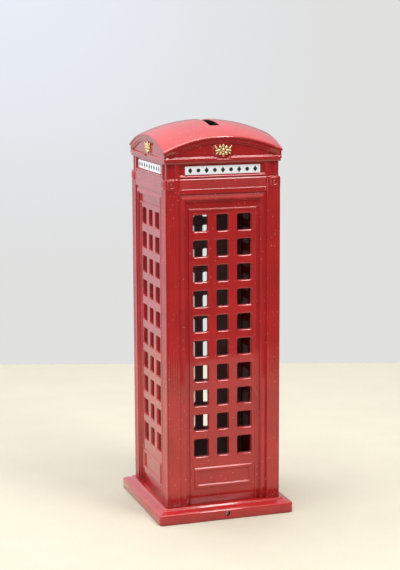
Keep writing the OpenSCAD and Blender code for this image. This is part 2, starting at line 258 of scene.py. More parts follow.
def enamel(name):
    finish, place = start_finish(name)
    clouds = finish.noise(place, 0.09, 3.0)
    streaks = finish.noise(finish.place((1, 1, 0.05)), 0.8, 2.0)
    mottle = finish.noise(place, 1.1, 4.0, 0.6)
    coarse_dust = finish.specks(place, 0.50, 0.20, 0.5)
    fine_dust = finish.specks(place, 1.1, 0.15, 0.6)
    dust = coarse_dust.most(fine_dust * 0.8)
    depth = clouds * 0.8 + streaks * 0.2 + mottle * 0.2 - 0.30
    colour = finish.mix(depth.rise(0.05, 0.65), DEEP_RED, RED)
    colour = finish.mix(dust * 0.85, colour, DUST)
    peel = finish.noise(place, 0.7, 1.5) * 0.010
    grain = finish.noise(place, 3.0, 2.0) * 0.0015
    return finish.surface(
        Base_Color=colour, Roughness=0.38 + mottle * 0.08 + dust * 0.2,
        Coat_Weight=1 - dust * 0.6, Coat_Roughness=0.06, Coat_IOR=1.5, Specular_IOR_Level=0.25,
        Normal=finish.bump(peel + grain + dust * 0.03))


def primer(name):
    finish, place = start_finish(name)
    mottle = finish.noise(place, 0.8, 4.0, 0.6)
    overspray = finish.noise(place, 0.3, 4.0).rise(0.45, 0.75)
    colour = finish.mix(overspray * 0.35, PRIMER, DEEP_RED)
    _, _, z = finish.parts(place)
    # Painted shade: the inside turns almost black from 122 to 130 mm up, under the roof, where little
    # light gets in.
    colour = finish.mix(z.rise(122, 130), colour, DEEP_SHADE)
    return finish.surface(Base_Color=colour, Roughness=0.75 + mottle * 0.2,
                          Specular_IOR_Level=0.15, Normal=finish.bump(mottle * 0.02))


red_enamel = enamel("red_enamel")
CASTING_FINISHES = [red_enamel, primer("primer_and_painted_shade")]
print("enamel has", len(red_enamel.node_tree.nodes), "nodes")

# %% [markdown]
# ## Pieces on four sides
#
# The bank looks the same from all four sides, so each piece is drawn once, flat, as if on the front,
# and then turned onto its side. A piece that stands for a CAD node takes that node's place in the
# frame: it rides on the kiosk body, and the CAD node is hidden.

# %% Side frames
TURNS = {"front": 0, "right": 90, "back": 180, "left": -90}


def side_matrix(side, out, height):
    """Places a flat piece, drawn with X across and Y up and Z out, on one side of the bank."""
    turn = Matrix.Rotation(math.radians(TURNS[side]), 4, "Z")
    stand = Matrix.Rotation(math.radians(90), 4, "X")
    return turn @ Matrix.Translation((0, -out, height)) @ stand


def side_box(node, side):
    """A node's box as its side sees it: half width, low z, high z, inner and outer distance, in mm."""
    low, high = (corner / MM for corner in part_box(node))
    out = 1 if side in ("front", "back") else 0
    return high[1 - out], low.z, high.z, *sorted((abs(low[out]), abs(high[out])))


print("sides:", TURNS)

# %% Outlines and plates
CORNER_STEPS = 5


def outline(half_w, half_h, radius):
    """Points round a rectangle with rounded corners, about the origin."""
    corners = ((1, 1, 0), (-1, 1, 90), (-1, -1, 180), (1, -1, 270))
    return [(sx * (half_w - radius) + radius * math.cos(math.radians(start + 90 * i / CORNER_STEPS)),
             sy * (half_h - radius) + radius * math.sin(math.radians(start + 90 * i / CORNER_STEPS)))
            for sx, sy, start in corners for i in range(CORNER_STEPS + 1)]


def join_loops(bm, lower, upper):
    """A closed band of faces between two loops of as many vertices."""
    following = [*range(1, len(lower)), 0]
    return [bm.faces.new((lower[i], lower[j], upper[j], upper[i])) for i, j in enumerate(following)]


def add_plate(bm, points, low, high, centre=(0, 0), inset=0.0, index=0, smooth=True):
    """A flat plate with an outline, whose top edge is drawn in by inset."""
    def ring(z, shrink):
        size = [max(abs(p[k]) for p in points) for k in (0, 1)]
        scale = [(s - shrink) / s for s in size]
        return [bm.verts.new((centre[0] + p[0] * scale[0], centre[1] + p[1] * scale[1], z))
                for p in points]

    rings = [ring(low, 0), ring(high - inset, 0), ring(high - inset * 0.3, inset * 0.3),
             ring(high, inset)]
    faces = [bm.faces.new(list(reversed(rings[0]))), bm.faces.new(rings[-1])]
    for lower, upper in pairwise(rings):
        faces += join_loops(bm, lower, upper)
    for face in faces:
        face.material_index = index
        face.smooth = smooth


print("an outline has", len(outline(1, 1, 0.1)), "points")


# %% Objects and pieces
def new_object(name, bm, materials=(), matrix=None):
    """Turns a mesh in the making into an object, and moves its mesh by matrix."""
    mesh = bpy.data.meshes.new(name)
    bmesh.ops.recalc_face_normals(bm, faces=bm.faces)
    bm.to_mesh(mesh)
    bm.free()
    for material in materials:
        mesh.materials.append(material)
    if matrix is not None:
        mesh.transform(matrix)
    made = bpy.data.objects.new(name, mesh)
    bpy.context.scene.collection.objects.link(made)
    return made


def finish_piece(name, bm, materials, node, matrix=Matrix.Identity(4)):
    """Turns a piece drawn in millimetres into an object in the frame, in place of a CAD node."""
    piece = new_object(name, bm, materials, matrix @ Matrix.Scale(MM, 4))
    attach(piece, "kiosk")
    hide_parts(node)
    return piece


print("pieces are drawn in units of", MM, "m")

# %% [markdown]
# ## Castings with soft edges
#
# The walls and the roof are relief castings: shallow steps, mouldings and reeds, all blurred a little
# by the thick enamel. Bevels on a CAD solid break down where details are narrower than the bevel, so
# the relief is made another way. Each face is a fine grid whose lines lie close together only where
# the relief steps, and a plain function says how deep each point lies. A step in that function is an
# S-curve instead of a jump, which gives every edge its rounding and every inner corner its fillet.

# %% Soft steps
SOFT = 0.07


def soft_step(inside_by, blend=SOFT):
    """0 outside an edge and 1 inside it, from how far inside a point is, in mm."""
    t = min(1.0, max(0.0, 0.5 + inside_by / (2 * blend)))
    return t * t * (3 - 2 * t)


def round_over(distance, radius):
    """How far a rounded edge drops at a distance in from the edge."""
    if distance >= radius:
        return 0.0
    reach = radius - max(0.0, distance)
    return radius - math.sqrt(max(0.0, radius * radius - reach * reach))


def paint(strokes, depth=0.0):
    """Lays levels over each other. A stroke is how far inside it a point is, its level, and
    perhaps how far its step is blurred."""
    for inside_by, level, *blend in strokes:
        depth += (level - depth) * soft_step(inside_by, *blend)
    return depth


print("a soft step over", 2 * SOFT, "mm")

# %% Grid lines
CLOSEST = 0.03


def beside(edges, blend=SOFT):
    """Grid lines at and beside each edge, so that the step there has its full curve."""
    return [edge + blend * share for edge in edges for share in (-1.7, -1, -0.4, 0.4, 1, 1.7)]


def spread(low, high, step):
    """Evenly spaced grid lines."""
    count = max(1, round((high - low) / step))
    return [low + (high - low) * i / count for i in range(count + 1)]


def tidy_lines(lines, low, high):
    """Sorts grid lines, keeps those inside the limits, and drops those that nearly coincide."""
    kept = [low]
    for line in sorted(lines):
        if kept[-1] + CLOSEST < line < high - CLOSEST:
            kept.append(line)
    return [*kept, high]


def round_corner(p, q, radius, fade=None):
    """Moves a point outside a square corner's arc centre so that squares become circles.

    p and q are measured from the centre of the corner's arc. With fade, the effect dies away
    between radius and radius + fade.
    """
    if p <= 0 or q <= 0:
        return p, q
    reach = max(p, q)
    angle = math.pi / 4 * (q / p if p >= q else 2 - p / q)
    share = 1.0 if fade is None else min(1.0, max(0.0, 1 - (reach - radius) / fade))
    return (p + (reach * math.cos(angle) - p) * share, q + (reach * math.sin(angle) - q) * share)


print("an edge gets", len(beside([0])), "grid lines")


# %% Skins
def grid_faces(bm, verts, keep):
    """Fills a grid of vertices with quads, apart from those whose cell keep turns down."""
    for i, (near, far) in enumerate(pairwise(verts)):
        for j in range(len(near) - 1):
            if keep(i, j):
                bm.faces.new((near[j], far[j], far[j + 1], near[j + 1]))


def skirt(bm, edges, moved, index=0, sharp=False):
    """Draws a strip of faces from open edges. moved gives each new vertex its place."""
    made = bmesh.ops.extrude_edge_only(bm, edges=edges)["geom"]
    for vert in (part for part in made if isinstance(part, bmesh.types.BMVert)):
        vert.co = moved(vert.co)
    for face in (part for part in made if isinstance(part, bmesh.types.BMFace)):
        face.material_index = index
    far_edges = [part for part in made if isinstance(part, bmesh.types.BMEdge)]
    for edge in far_edges:
        edge.smooth = not sharp
    return far_edges


def close_up(bm):
    """Drops loose vertices, joins doubled ones, and makes all faces look outwards."""
    bmesh.ops.delete(bm, geom=[v for v in bm.verts if not v.link_faces], context="VERTS")
    bmesh.ops.remove_doubles(bm, verts=bm.verts, dist=0.002)
    bmesh.ops.dissolve_degenerate(bm, dist=0.001, edges=bm.edges)
    bmesh.ops.recalc_face_normals(bm, faces=bm.faces)
    for face in bm.faces:
        face.smooth = True


ENAMELLED, PRIMED = 0, 1
print("the faces' finishes:", [CASTING_FINISHES[i].name for i in (ENAMELLED, PRIMED)])

# %% [markdown]
# ## The walls
#
# All four walls share one relief: a recess with a stepped moulding round it like a door frame, ten
# rows of three windows with rounded rims, a framed panel under them, reeded pilasters with a stud on
# each head, a band of level reeds, and a frieze with a sunk panel for the sign. The side walls carry
# the rounded corners, and the front and back walls sit between them. In the names below, U is a
# distance across from the wall's middle, Z is a height, and a depth is counted from the pilasters'
# faces, all in millimetres.

# %% Sizes of a wall
WALL_TOP = ROOF_LOW.z
WALL_T = 2.6
NECK_Z = 120.9
NECK_DEPTH = 0.5
NARROW_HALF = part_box("front_panel")[1].x / MM
CORNER_R = 0.45
# Half width, top and depth of each step of the frame, from the recess outwards
FRAME_STEPS = ((11.8, 109.95, 0.9), (12.4, 110.5, 0.6), (13.6, 113.1, 1.15), (14.0, 113.7, 0.5))
ARCH_U, ARCH_Z, _ = FRAME_STEPS[-1]
ARCH_W = 2.1
# Half width and depth of the fine grooves beside the moulding
QUIRKS = ((16.2, 0.2), (15.9, 0.1))
# Half width, low edge, high edge and depth of the low panel's frame and of its field
PANELS = ((10.7, 11.0, 18.25, 0.42), (9.6, 12.1, 17.2, 0.95))
PANEL_SOFT = 0.13
REEDS_U = (17.25, 18.1, 18.95, 19.75)
REED_HALF = 0.16
REED_DEPTH = 0.08
REED_SOFT = 0.14
BAND_Z = (117.4, 121.0)
BAND_PITCH = 0.72
BAND_DEPTH = 0.16
BAND_SWELL = 0.045
BAND_MARGIN = 0.15
LUG_CENTRE = (18.75, 119.1)
LUG_HALF = (1.35, 1.65)
LUG_R = 0.7
LUG_OUT = 0.3
DISH_R = 1.0
STUD_R = 0.62
STUD_OUT = 0.35
STILE_U = (15.7, 17.2)
SILL_Z = (121.5, 122.0)
SILL_SOFT = 0.2
HEAD_SOFT = 0.12
FRIEZE_TOP = 125.9
INNER_HALF = BODY_HALF - WALL_T
SPRAY_REACH = 2.3
print("walls stand from", round(BASE_TOP, 2), "to", round(WALL_TOP, 2), "mm")


# %% The relief of a wall
def inside_box(u, z, centre, half, radius=0.0):
    """How far a point is inside a rectangle with rounded corners."""
    p = abs(u - centre[0]) - half[0] + radius
    q = abs(z - centre[1]) - half[1] + radius
    return radius - math.hypot(max(p, 0), max(q, 0)) - min(max(p, q), 0)


def strip(value, low, high):
    return min(value - low, high - value)


def moulding(distance):
    """The architrave's section, outwards from the recess: a roll, and then a long slope."""
    roll = 0.12 * (1 - min(1.0, distance / 0.4)) ** 2
    slope = 0.78 * max(0.0, distance - 0.2) / ARCH_W
    return roll + slope


def reeding(z):
    """The band's level reeds: rolls and hollows that run into each other."""
    return BAND_DEPTH - BAND_SWELL * math.cos(math.tau * (z - BAND_Z[0] - 0.3) / BAND_PITCH)


def shaft_depth(u, z):
    """The wall's depth from its foot to the pilasters' heads."""
    arch = max(u - ARCH_U, z - ARCH_Z)
    over_foot = z - BAND_Z[0]
    strokes = [(min(REED_HALF - abs(u - reed), -0.1 - over_foot), REED_DEPTH, REED_SOFT)
               for reed in REEDS_U]
    strokes += [(half - u, level) for half, level in QUIRKS]
    strokes.append((ARCH_W - arch, moulding(arch)))
    strokes += [(min(half - u, top - z), level) for half, top, level in reversed(FRAME_STEPS)]
    strokes += [(min(half - u, strip(z, low, high)), level, PANEL_SOFT)
                for half, low, high, level in PANELS]
    strokes.append((min(QUIRKS[1][0] - u, over_foot), BAND_MARGIN))
    strokes.append((min(STILE_U[0] - u, over_foot), reeding(z)))
    reach = math.hypot(u - LUG_CENTRE[0], z - LUG_CENTRE[1])
    strokes.append((inside_box(u, z, LUG_CENTRE, LUG_HALF, LUG_R), -LUG_OUT, 0.1))
    strokes.append((DISH_R - reach, -0.05, 0.12))
    depth = paint(strokes)
    return depth - STUD_OUT * math.sqrt(1 - (reach / STUD_R) ** 2) if reach < STUD_R else depth


def frieze_depth(u, z, neck_half):
    """The wall's depth above the pilasters' heads."""
    middle = STILE_U[0] - u
    return paint([
        (neck_half - 0.7 - u, 0.75), (STILE_U[1] - u, 0.2), (middle, 0.85),
        (min(middle, SILL_Z[1] - z), 0.05, SILL_SOFT), (min(middle, SILL_Z[0] - z), 0.35),
        (min(middle, z - FRIEZE_TOP), 0.2)], NECK_DEPTH)


print("the recess lies", round(shaft_depth(5, 60), 2), "mm deep")

# %% Windows
ROWS = 10
ROW_PITCH = 8.84
TOP_WINDOW = (102.6, 108.4)
LAST_ROW_EXTRA = 0.7
COLUMNS = ((-10.75, -5.35), (-2.2, 2.2), (5.35, 10.75))
WINDOW_R = 0.6
RIM_R = 0.5
RIM_SINK = 0.4
SILL_SINK = 0.5
RIM_FADE = 0.3


def window_boxes():
    """Each window's low and high places across and up."""
    for row in range(ROWS):
        low, high = (z - row * ROW_PITCH for z in TOP_WINDOW)
        if row == ROWS - 1:
            low -= LAST_ROW_EXTRA
        for left, right in COLUMNS:
            yield left, right, low, high


WINDOWS = list(window_boxes())
print(len(WINDOWS), "windows in a wall, the lowest sill at", round(min(w[2] for w in WINDOWS), 2))


# %% Grid lines of a wall
def window_lines(edges):
    """Lines at a window's edges, (place, outward direction): the rim outside and the corner inside."""
    offsets = [-share * WINDOW_R for share in (1, 0.7, 0.4, 0.15, 0)]
    offsets += [share * RIM_R for share in (0.05, 0.15, 0.32, 0.55, 0.8, 1)]
    return [edge + out * offset for edge, out in edges for offset in (*offsets, RIM_R + 0.12)]


def wall_lines(half):
    scale = half / (half - NECK_DEPTH)
    across = window_lines([(COLUMNS[1][1], 1), (COLUMNS[2][0], -1), (COLUMNS[2][1], 1)])
    across += beside([step[0] for step in (*FRAME_STEPS, *QUIRKS)])
    across += beside([panel[0] for panel in PANELS], PANEL_SOFT)
    across += [ARCH_U + share * ARCH_W for share in (0.06, 0.12, 0.2, 0.4, 0.6, 0.8)]
    across += beside([reed + out * REED_HALF for reed in REEDS_U for out in (-1, 1)], 0.1)
    across += beside([scale * edge for edge in (*STILE_U, half - NECK_DEPTH - 0.7)])
    across += spread(STILE_U[1], LUG_CENTRE[0] + 1.55, 0.17)
    across += [half - CORNER_R * (1 - math.sin(math.radians(angle))) for angle in range(0, 90, 15)]
    across = tidy_lines([*across, 0.0], 0.0, half)
    upward = window_lines([(edge, out) for _, _, low, high in WINDOWS[::3]
                           for edge, out in ((low, -1), (high, 1))])
    upward += beside([step[1] for step in FRAME_STEPS] + [*BAND_Z, BAND_Z[0] - 0.1])
    upward += beside([SILL_Z[0], FRIEZE_TOP])
    upward += beside([z for panel in PANELS for z in panel[1:3]], PANEL_SOFT)
    upward += beside([SILL_Z[1]], SILL_SOFT) + beside([NECK_Z], HEAD_SOFT)
    upward += beside([ARCH_Z + ARCH_W])
    upward += [ARCH_Z + share * ARCH_W for share in (0.06, 0.12, 0.2, 0.35, 0.5, 0.65, 0.8)]
    upward += spread(BAND_Z[0] - 0.2, NECK_Z, 0.1)
    upward = tidy_lines(upward, BASE_TOP, WALL_TOP)
    return [-line for line in reversed(across[1:])] + across, upward


print("lines across and up a wall:", [len(lines) for lines in wall_lines(BODY_HALF)])


# %% Points of a wall
def wall_point(u, z, half, corner_r):
    """Where a grid point of a wall lies: across, up, and how far out from the pilasters' face."""
    in_neck = soft_step(z - NECK_Z, HEAD_SOFT)
    edge_half = half - NECK_DEPTH * in_neck
    x = u * edge_half / half
    below = shaft_depth(abs(x), z) if in_neck < 1 else 0.0
    above = frieze_depth(abs(x), z, edge_half) if in_neck > 0 else 0.0
    depth = below + (above - below) * in_neck + round_over(edge_half - abs(x), corner_r)
    near = RIM_R + RIM_FADE
    row = min(ROWS - 1, max(0, round((sum(TOP_WINDOW) / 2 - z) / ROW_PITCH)))
    for left, right, low, high in WINDOWS[3 * row:3 * row + 3]:
        outside = max(left - x, x - right, low - z, z - high)
        if outside > near:
            continue
        sill_share = max(0.0, (low - z + RIM_R) / (outside + RIM_R))
        depth += (RIM_SINK + SILL_SINK * sill_share) * round_over(outside, RIM_R)
        centre = ((left + right) / 2, (low + high) / 2)
        size = ((right - left) / 2 - WINDOW_R, (high - low) / 2 - WINDOW_R)
        side = math.copysign(1, x - centre[0]), math.copysign(1, z - centre[1])
        p, q = round_corner(abs(x - centre[0]) - size[0], abs(z - centre[1]) - size[1],
                            WINDOW_R + RIM_R, RIM_FADE)
        x, z = (centre[0] + side[0] * (size[0] + p), centre[1] + side[1] * (size[1] + q))
        break
    return x, z, -depth


def in_window(u, z):
    return (abs(u) < COLUMNS[-1][1] and z < TOP_WINDOW[1]
            and any(left < u < right and low < z < high for left, right, low, high in WINDOWS))


print("a sill lies", round(-wall_point(0, WINDOWS[1][2], BODY_HALF, CORNER_R)[2], 2), "mm deep")


# %% Cast the walls
def in_field(x, z):
    """Whether a point is nearer the windows than the wall's outline."""
    return abs(x) < FRAME_STEPS[0][0] and PANELS[0][2] < z < FRAME_STEPS[0][1]


def wall_mesh(half, corner_r, tuck_half):
    """One wall casting, drawn in mm with X across, Y up and Z out from the pilasters' face."""
    across, upward = wall_lines(half)
    bm = bmesh.new()
    verts = [[bm.verts.new(wall_point(u, z, half, corner_r)) for z in upward] for u in across]
    grid_faces(bm, verts, lambda i, j: not in_window((across[i] + across[i + 1]) / 2,
                                                     (upward[j] + upward[j + 1]) / 2))
    open_edges = [edge for edge in bm.edges if edge.is_boundary]
    rims = [edge for edge in open_edges if all(in_field(*v.co.xy) for v in edge.verts)]
    outline_edges = list(set(open_edges) - set(rims))

    def tuck(co):
        reach = max(-tuck_half, min(tuck_half, co.x))
        return reach, co.y, min(co.z, -CORNER_R - (NECK_DEPTH if co.y > NECK_Z else 0))

    outline_edges = skirt(bm, outline_edges, tuck, PRIMED, sharp=True)
    jambs = skirt(bm, rims, lambda co: (co.x, co.y, -SPRAY_REACH))
    backs = [skirt(bm, edges, lambda co: (co.x, co.y, -WALL_T), PRIMED, sharp=True)
             for edges in (outline_edges, jambs)]
    back = bmesh.ops.triangle_fill(bm, edges=backs[0] + backs[1], use_beauty=True, normal=(0, 0, -1))
    for face in (part for part in back["geom"] if isinstance(part, bmesh.types.BMFace)):
        face.material_index = PRIMED
    close_up(bm)
    return bm


narrow_wall = wall_mesh(NARROW_HALF, 0.12, NARROW_HALF)
wide_wall = wall_mesh(BODY_HALF, CORNER_R, INNER_HALF - 0.05)
walls = {}
for side, pattern in (("front", narrow_wall), ("back", narrow_wall.copy()),
                      ("left", wide_wall), ("right", wide_wall.copy())):
    walls[side] = finish_piece(f"{side}_wall", pattern, CASTING_FINISHES, f"{side}_panel",
                               side_matrix(side, BODY_HALF * MM, 0))
print("walls:", {side: len(wall.data.polygons) for side, wall in walls.items()}, "faces")

# %% [markdown]
# ## The roof
#
# The roof is a shallow spherical dome on a square, so each side ends in an arc, like a pediment.
# Under the arc lie two steps, a sunk field with an oval boss, a ledge with a gap in its middle, and
# the cornice. The top is a grid over the square, and the sides hang from its edge in rows: the upper
# rows follow the arcs, and the lower ones are level. All four sides are the same, so the rows run
# right round.

# %% Sizes of the roof
EAVES = ROOF_HIGH.x
DOME_Z = ROOF_HIGH.z - DOME_RADIUS
DOME_T = 2.0
EAVES_R = 0.35
EAVES_CORNER_R = 0.6
SLOT_HALF = (1.8, 12.2)
SLOT_RIM_R = 0.3
SLOT_SPRAY = 0.12
# Radius, height of the centre, and depth of each arc of the pediment
ARCS = ((47.7, DOME_Z, 0.45), (42.8, 90.9, 0.8), (42.1, 90.9, 1.25))
SOFFIT_Z = 129.8
LEDGE_Z = (127.5, 128.1)
LEDGE_SOFT = 0.22
LEDGE_U = (2.6, 19.6)
LEDGE_DEPTH = 0.05
LEDGE_GAP_DEPTH = 0.85
CORNICE_FOOT = 127.1
CORNICE_DEPTHS = (0.3, 0.55)
BOSS_HALF = (3.7, 2.7)
BOSS_DEPTH = 0.9
BOSS_Z = sum(corner.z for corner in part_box("front_emblem")) / 2 / MM
ROOF_INNER = 17.6
print("the dome's centre is at", round(DOME_Z, 2), "mm")


# %% The relief of the roof
def dome(x, y, radius=DOME_RADIUS):
    return DOME_Z + math.sqrt(radius * radius - x * x - y * y)


def outline_depth(z):
    """How far the roof's outline lies in from the eaves at a height."""
    return paint([(SOFFIT_Z - z, CORNICE_DEPTHS[0]), (CORNICE_FOOT - z, CORNICE_DEPTHS[1])])


def roof_depth(u, z):
    """How far a side of the roof lies behind the eaves."""
    u = abs(u)
    strokes = [(radius - math.hypot(u, z - centre), level) for radius, centre, level in ARCS]
    in_boss = 3 * (1 - math.hypot(u / BOSS_HALF[0], (z - BOSS_Z) / BOSS_HALF[1]))
    strokes.append((in_boss, BOSS_DEPTH, 0.2))
    below = LEDGE_Z[1] - z
    strokes += [(min(below, LEDGE_U[0] - u), LEDGE_GAP_DEPTH, LEDGE_SOFT),
                (min(below, u - LEDGE_U[1]), CORNICE_DEPTHS[0], LEDGE_SOFT),
                (min(below, strip(u, *LEDGE_U)), LEDGE_DEPTH, LEDGE_SOFT),
                (LEDGE_Z[0] - z, CORNICE_DEPTHS[0])]
    return max(paint(strokes), outline_depth(z))


def roof_rows(u):
    """The heights of a side's rows at a place across, from the eaves down."""
    u = min(abs(u), EAVES)
    arcs = [centre + math.sqrt(radius * radius - u * u) for radius, centre, _ in ARCS]
    floor = LEDGE_Z[1] + 1.7 * LEDGE_SOFT
    heights = [dome(u, EAVES) - EAVES_R, max(arcs[0] + 0.16, SOFFIT_Z + SOFT),
               max(arcs[0] + 0.13, SOFFIT_Z - SOFT)]
    for arc in arcs:
        heights += reversed(beside([arc]))
    heights = [min(heights[0], max(height, floor)) for height in heights]
    field = max(arcs[2] - 2 * SOFT, floor)
    heights += [field + (floor - field) * i / 14 for i in range(15)]
    heights += reversed(beside([LEDGE_Z[1]], LEDGE_SOFT))
    for edge in (LEDGE_Z[0], CORNICE_FOOT):
        heights += reversed(beside([edge]))
    return [*heights, WALL_TOP]


def roof_lines():
    lines = beside(LEDGE_U, LEDGE_SOFT) + spread(0, BOSS_HALF[0] + 0.3, 0.3) + spread(0, EAVES, 1.2)
    lines += window_lines([(half, 1) for half in SLOT_HALF])
    lines += [EAVES - EAVES_CORNER_R * (1 - math.sin(math.radians(a))) for a in range(0, 90, 15)]
    lines = tidy_lines(lines, 0.0, EAVES)
    return [-line for line in reversed(lines[1:])] + lines


print("a side of the roof has", len(roof_rows(0)), "rows of", len(roof_lines()), "points")


# %% Points of the roof
def turn_corner(x, y, half, radius):
    """Rounds the upright corners of a square outline."""
    inner = half - radius
    p, q = round_corner(abs(x) - inner, abs(y) - inner, radius)
    if abs(x) <= inner or abs(y) <= inner:
        return x, y
    return math.copysign(inner + p, x), math.copysign(inner + q, y)


def roof_top_point(x, y):
    edge = EAVES - max(abs(x), abs(y))
    from_slot = max(abs(x) - SLOT_HALF[0], abs(y) - SLOT_HALF[1])
    z = dome(x, y) - round_over(edge, EAVES_R) - round_over(from_slot, SLOT_RIM_R)
    return (*turn_corner(x, y, EAVES, EAVES_CORNER_R), z)


def roof_inner_point(x, y):
    keep = SLOT_HALF[1] + 0.6
    squeeze = (ROOF_INNER - keep) / (EAVES - keep)
    x, y = (math.copysign(keep + (abs(c) - keep) * squeeze, c) if abs(c) > keep else c for c in (x, y))
    return x, y, dome(x, y, DOME_RADIUS - DOME_T)


print("the eaves' corner turns at", [round(c, 2) for c in roof_top_point(EAVES, EAVES)])


# %% Cast the roof
def roof_ring(lines):
    """Grid indices round the edge of the roof, each with its side's outward and sideways directions."""
    last = len(lines) - 1
    ring = []
    for quarter in range(4):
        for i in range(last):
            place = ((i, 0), (last, i), (last - i, last), (0, last - i))[quarter]
            turn = math.radians(90 * quarter)
            out = Vector((math.sin(turn), -math.cos(turn), 0))
            along = Vector((math.cos(turn), math.sin(turn), 0))
            ring.append((place, lines[i], out, along))
    return ring


def slot_ring(lines):
    """Grid indices round the slot."""
    xs, ys = ([i for i, line in enumerate(lines) if abs(line) <= half + 1e-6] for half in SLOT_HALF)
    return ([(i, ys[0]) for i in xs] + [(xs[-1], j) for j in ys[1:]]
            + [(i, ys[-1]) for i in reversed(xs[:-1])] + [(xs[0], j) for j in reversed(ys[1:-1])])


def make_roof():
    lines = roof_lines()
    bm = bmesh.new()
    sheets = [[[bm.verts.new(point(x, y)) for y in lines] for x in lines]
              for point in (roof_top_point, roof_inner_point)]
    middle = [(a + b) / 2 for a, b in pairwise(lines)]
    for sheet in sheets:
        grid_faces(bm, sheet, lambda i, j: (abs(middle[i]) > SLOT_HALF[0]
                                            or abs(middle[j]) > SLOT_HALF[1]))
    jambs = [[sheet[i][j] for i, j in slot_ring(lines)] for sheet in sheets]
    jambs.insert(1, [bm.verts.new(v.co + Vector((0, 0, -SLOT_SPRAY))) for v in jambs[0]])
    ring = roof_ring(lines)
    rows = [[sheets[0][i][j] for (i, j), *_ in ring]]
    for row in range(1, len(roof_rows(0))):
        verts = []
        for _, u, out, along in ring:
            z = roof_rows(u)[row]
            outline_in = outline_depth(z)
            across = u * (EAVES - outline_in) / EAVES
            flat = along * across + out * (EAVES - roof_depth(across, z))
            x, y = turn_corner(flat.x, flat.y, EAVES - outline_in, EAVES_CORNER_R)
            verts.append(bm.verts.new((x, y, z)))
        rows.append(verts)
    inner_edge = [sheets[1][i][j] for (i, j), *_ in ring]
    rows += [[bm.verts.new((*v.co.xy, WALL_TOP)) for v in inner_edge], inner_edge]
    for loops in (rows, jambs):
        for upper, lower in pairwise(loops):
            join_loops(bm, upper, lower)
    hidden = {*jambs[-1], *rows[-1], *rows[-2], *(v for column in sheets[1] for v in column)}
    for face in bm.faces:
        face.material_index = PRIMED if any(vert in hidden for vert in face.verts) else ENAMELLED
    close_up(bm)
    return finish_piece("roof_casting", bm, CASTING_FINISHES, "roof")


roof = make_roof()
print("roof:", len(roof.data.polygons), "faces")

# %% [markdown]
# ## The base
#
# The base is a square plate with rounded edges, a slope, and a low plinth that the walls stand on.
# Its outside is a loft through rounded squares of changing size and height. Its underside holds a
# pocket for the coin door, an outlet for the coins, sunk holes for four screws, and a bore for the
# grub screw, which are cut with a Boolean, as a drill and a mill would cut them.

# %% Base outline and tools
BASE_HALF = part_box("base")[1].x / MM
SHARP_ANGLE = math.radians(40)
ROD_SIDES = 48
# Half width, height and corner radius of each row, from the underside to the plinth's top
BASE_ROWS = ((24.5, 0.0, 1.3), (24.75, 0.08, 1.35), (24.92, 0.22, 1.4), (25.0, 0.42, 1.5),
             (25.0, 3.0, 1.5), (24.96, 3.28, 1.45), (24.85, 3.5, 1.35), (24.66, 3.66, 1.25),
             (24.4, 3.76, 1.1), (22.6, 4.29, 0.8), (22.3, 4.4, 0.7), (22.15, 4.52, 0.6),
             (22.08, 4.7, 0.6), (21.98, 4.85, 0.6), (21.83, 4.96, 0.5), (21.6, 5.0, 0.5),
             (INNER_HALF, 5.0, 0.4))


def loft(bm, rings):
    """A closed skin through rings of points that have the same number of points."""
    loops = [[bm.verts.new(point) for point in ring] for ring in rings]
    for lower, upper in pairwise(loops):
        join_loops(bm, lower, upper)
    bm.faces.new(list(reversed(loops[0])))
    bm.faces.new(loops[-1])


def add_block(bm, low, high):
    shape = (Matrix.Translation((Vector(low) + Vector(high)) / 2)
             @ Matrix.Diagonal((*(Vector(high) - Vector(low)), 1)))
    bmesh.ops.create_cube(bm, size=1, matrix=shape)


def add_rod(bm, start, end, radius):
    axis = Vector(end) - Vector(start)
    shape = (Matrix.Translation((Vector(start) + Vector(end)) / 2)
             @ axis.to_track_quat("Z", "Y").to_matrix().to_4x4())
    bmesh.ops.create_cone(bm, cap_ends=True, segments=ROD_SIDES, radius1=radius, radius2=radius,
                          depth=axis.length, matrix=shape)


def add_modifier(piece, name, kind, **settings):
    modifier = piece.modifiers.new(name, kind)
    for key, value in settings.items():
        setattr(modifier, key, value)


def take_result(made, helpers=()):
    """The mesh that an object's modifiers leave, for more work. The objects go."""
    left = bpy.data.meshes.new_from_object(made.evaluated_get(bpy.context.evaluated_depsgraph_get()))
    for helper in (made, *helpers):
        bpy.data.objects.remove(helper)
    bm = bmesh.new()
    bm.from_mesh(left)
    return bm


def cut_mesh(body, steps):
    """Applies Boolean steps to an object, and gives back the mesh that is left."""
    for operation, tool in steps:
        add_modifier(body, operation, "BOOLEAN", operation=operation, object=tool, solver="EXACT",
                     use_self=True)
    return take_result(body, [tool for _, tool in steps])


print("the base's outline has", len(BASE_ROWS), "rows")

# %% Places on the base
DOOR_LOW, DOOR_HIGH = (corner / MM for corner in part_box("coin_door"))
PIN_LOW, PIN_HIGH = (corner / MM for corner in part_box("hinge_pin"))
PIN_MIDDLE = (PIN_LOW + PIN_HIGH) / 2
LOCK_MIDDLE = sum(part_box("lock_screw"), Vector()) / 2 / MM
POSTS = [f"{end}_{side}_post" for end in ("front", "back") for side in ("left", "right")]
BELOW = -1.0
ABOVE = 6.0
POCKET_HALF = DOOR_HIGH.x + 0.2
POCKET_BACK = 17.4
MOUTH_HALF = DOOR_HIGH.x - 1.2
MOUTH_FRONT = DOOR_LOW.y + 1.4
HINGE_ROOM = 1.6
RING_R = 1.4
RING_ROOF = 4.1
RING_SPANS = ((-PIN_HIGH.x, -PIN_HIGH.x + 2.4), (-4.0, 4.0), (PIN_HIGH.x - 2.4, PIN_HIGH.x))
PIN_BORE_R = PIN_HIGH.z - PIN_MIDDLE.z + 0.03
LOCK_BORE_R = 0.95
STUD_HOLE_R = 1.15
SCREW_HEAD_R = 2.1
SCREW_HEAD_T = 1.5
print("the pin lies at", round(PIN_MIDDLE.y, 2), round(PIN_MIDDLE.z, 2), "mm")


